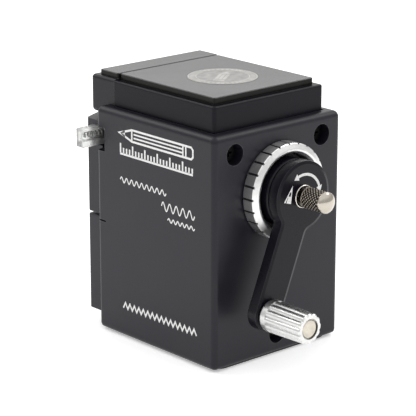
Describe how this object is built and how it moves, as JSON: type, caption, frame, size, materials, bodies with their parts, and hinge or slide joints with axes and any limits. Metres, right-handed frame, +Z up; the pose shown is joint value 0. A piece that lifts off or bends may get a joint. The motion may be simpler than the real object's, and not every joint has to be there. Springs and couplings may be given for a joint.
{
  "type": "pencil sharpener",
  "caption": "Hand-cranked desk pencil sharpener: black box body, sliding feed head with squeeze clamps, helical cutter, point adjuster and shavings drawer.",
  "frame": {"origin": "on the standing surface, under the middle of the housing", "axes": "+Z up; the pencil goes in from the front (-Y); the crank is on the rear face (+Y)"},
  "size_m": [0.0854, 0.1258, 0.1155],
  "materials": {
    "body_plastic": "satin moulded black",
    "inner_plastic": "matte moulded black",
    "tile_plastic": "fine brushed gloss",
    "crank_plastic": "smooth semi-gloss black",
    "clear_plastic": "clear, slightly milky",
    "foil": "pale satin foil",
    "silver_metal": "satin silver",
    "chrome_metal": "satin chrome",
    "nickel": "polished nickel",
    "cast_zinc": "as cast",
    "pin_steel": "turned",
    "screw_steel": "blackened",
    "spring_steel": "drawn wire",
    "tool_steel": "hardened and ground",
    "bronze": "sintered",
    "mat_rubber": "matte"
  },
  "bodies": {
    "housing": {"housing": "body_plastic", "frame_shelf": "inner_plastic", "front_bulkhead": "inner_plastic", "pencil_guide": "inner_plastic", "rear_bulkhead": "inner_plastic", "gear_cup": "inner_plastic", "cage_bars": "inner_plastic", "seat_ring": "inner_plastic", "ring_gear": "inner_plastic", "bearing_plate": "inner_plastic", "journal_bush": "bronze", "rear_hood": "body_plastic", "top_panel": "tile_plastic", "emblem_disc": "foil", "base_mat": "mat_rubber", "housing_screws": "screw_steel", "rod_bushes": "bronze"},
    "lock_ring": {"lock_ring": "silver_metal"},
    "crank": {"crank_arm": "crank_plastic", "handle_pin": "pin_steel", "cutter_frame": "cast_zinc", "cutter_axle": "pin_steel", "cutter_spacer": "pin_steel", "adjuster_bush": "nickel"},
    "handle": {"handle_knob": "chrome_metal"},
    "adjuster": {"adjuster_knob": "nickel", "adjuster_clip": "screw_steel"},
    "stop": {"stop_rod": "pin_steel"},
    "cutter": {"helical_cutter": "tool_steel", "cutter_pinion": "pin_steel"},
    "feed_head": {"feed_head": "body_plastic", "grip_block": "body_plastic", "head_tile": "tile_plastic", "chuck_cover": "inner_plastic", "chuck_cover_screws": "screw_steel", "guide_rods": "pin_steel", "rod_clips": "screw_steel", "return_springs": "spring_steel"},
    "clamp_right": {"clamp_slider_right": "pin_steel", "clamp_button_right": "clear_plastic", "clamp_spring_right": "spring_steel"},
    "clamp_left": {"clamp_slider_left": "pin_steel", "clamp_button_left": "clear_plastic", "clamp_spring_left": "spring_steel"},
    "drawer": {"shavings_drawer": "body_plastic"}
  },
  "joints": [
    {"name": "lock_turn", "type": "hinge", "parent": "housing", "child": "lock_ring", "pos_m": [0, 0.0421, 0.0736], "axis": [0, 1, 0], "range_deg": [0, 45]},
    {"name": "crank_turn", "type": "hinge", "parent": "housing", "child": "crank", "pos_m": [0, 0.035, 0.0736], "axis": [0, 1, 0], "continuous": true},
    {"name": "cutter_spin", "type": "hinge", "parent": "crank", "child": "cutter", "pos_m": [0, -0.002, 0.0841], "axis": [0, 0.9833, -0.1822], "continuous": true},
    {"name": "handle_spin", "type": "hinge", "parent": "crank", "child": "handle", "pos_m": [0.01903, 0.0655, 0.0265], "axis": [0, 1, 0], "continuous": true},
    {"name": "adjuster_turn", "type": "hinge", "parent": "crank", "child": "adjuster", "pos_m": [0, 0.06, 0.0736], "axis": [0, 1, 0], "range_deg": [-135, 135]},
    {"name": "stop_slide", "type": "slide", "parent": "crank", "child": "stop", "axis": [0, 1, 0], "range_m": [-0.0012, 0.0012]},
    {"name": "feed_slide", "type": "slide", "parent": "housing", "child": "feed_head", "axis": [0, -1, 0], "range_m": [0, 0.028], "stiffness_N_per_m": 60, "deforming": ["return_springs"]},
    {"name": "squeeze_right", "type": "slide", "parent": "feed_head", "child": "clamp_right", "axis": [-1, 0, 0], "range_m": [0, 0.0035], "stiffness_N_per_m": 250, "springref_m": -0.002, "deforming": ["clamp_spring_right"]},
    {"name": "squeeze_left", "type": "slide", "parent": "feed_head", "child": "clamp_left", "axis": [1, 0, 0], "range_m": [0, 0.0035], "stiffness_N_per_m": 250, "springref_m": -0.002, "deforming": ["clamp_spring_left"]},
    {"name": "drawer_slide", "type": "slide", "parent": "housing", "child": "drawer", "axis": [0, -1, 0], "range_m": [0, 0.06]}
  ],
  "couplings": [
    {"joint": "cutter_spin", "follows": "crank_turn", "ratio": -3.1},
    {"joint": "stop_slide", "follows": "adjuster_turn", "m_per_rad": 0.0005093}
  ]
}
